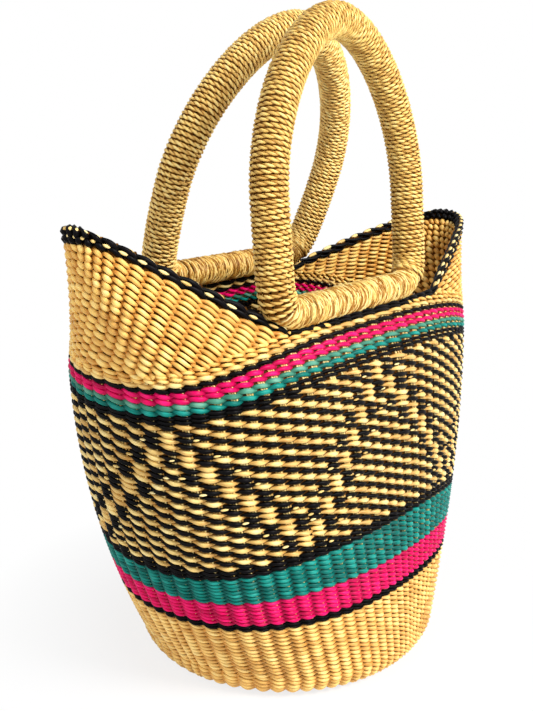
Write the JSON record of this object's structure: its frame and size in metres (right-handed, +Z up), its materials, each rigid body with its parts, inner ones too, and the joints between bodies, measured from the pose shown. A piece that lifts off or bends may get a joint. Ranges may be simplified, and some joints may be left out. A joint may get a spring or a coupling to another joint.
{
  "type": "handwoven straw basket",
  "caption": "Round-based straw shopping basket with a long boat-shaped mouth, woven colour bands and two wrapped loop handles hinged on the rim.",
  "frame": {"origin": "middle of the flat underside of the round base", "axes": "+Z up; X along the mouth, -X at the near, higher tip and +X at the far tip; the front handle is on the -Y side and the rear handle on the +Y side"},
  "size_m": [0.485, 0.215, 0.461],
  "materials": {
    "straw": "dry grass straw, satin",
    "warm_straw": "dry grass straw, warm golden",
    "handle_straw": "fine twisted straw, satin",
    "core_straw": "rough bundled straw",
    "black_straw": "black dyed straw, satin",
    "pink_straw": "pink dyed straw, satin",
    "teal_straw": "teal dyed straw, satin",
    "field_straw": "black and natural straw woven together"
  },
  "bodies": {
    "basket": {"base_floor": "straw", "base_wall": "straw", "lower_black_line": "black_straw", "lower_pink_band": "pink_straw", "lower_teal_band": "teal_straw", "lower_black_border": "black_straw", "pattern_field": "field_straw", "upper_black_border": "black_straw", "upper_teal_band": "teal_straw", "upper_pink_band": "pink_straw", "upper_black_line": "black_straw", "near_wing": "warm_straw", "far_wing": "warm_straw", "front_lashing_near": "handle_straw", "front_lashing_far": "handle_straw", "rear_lashing_near": "handle_straw", "rear_lashing_far": "handle_straw", "natural_course": "straw", "rim_lower_braid": "black_straw", "rim_upper_braid": "black_straw"},
    "front_handle": {"front_hoop": "core_straw", "front_arch_wrap": "handle_straw", "front_bar_binding": "handle_straw"},
    "rear_handle": {"rear_hoop": "core_straw", "rear_arch_wrap": "handle_straw", "rear_bar_binding": "handle_straw"}
  },
  "joints": [
    {"name": "front_handle_hinge", "type": "hinge", "parent": "basket", "child": "front_handle", "pos_m": [-0.05, -0.06, 0.27432], "axis": [1, 0, 0], "range_deg": [-2, 35]},
    {"name": "rear_handle_hinge", "type": "hinge", "parent": "basket", "child": "rear_handle", "pos_m": [-0.017, 0.06, 0.27632], "axis": [-1, 0, 0], "range_deg": [-2, 35]}
  ]
}
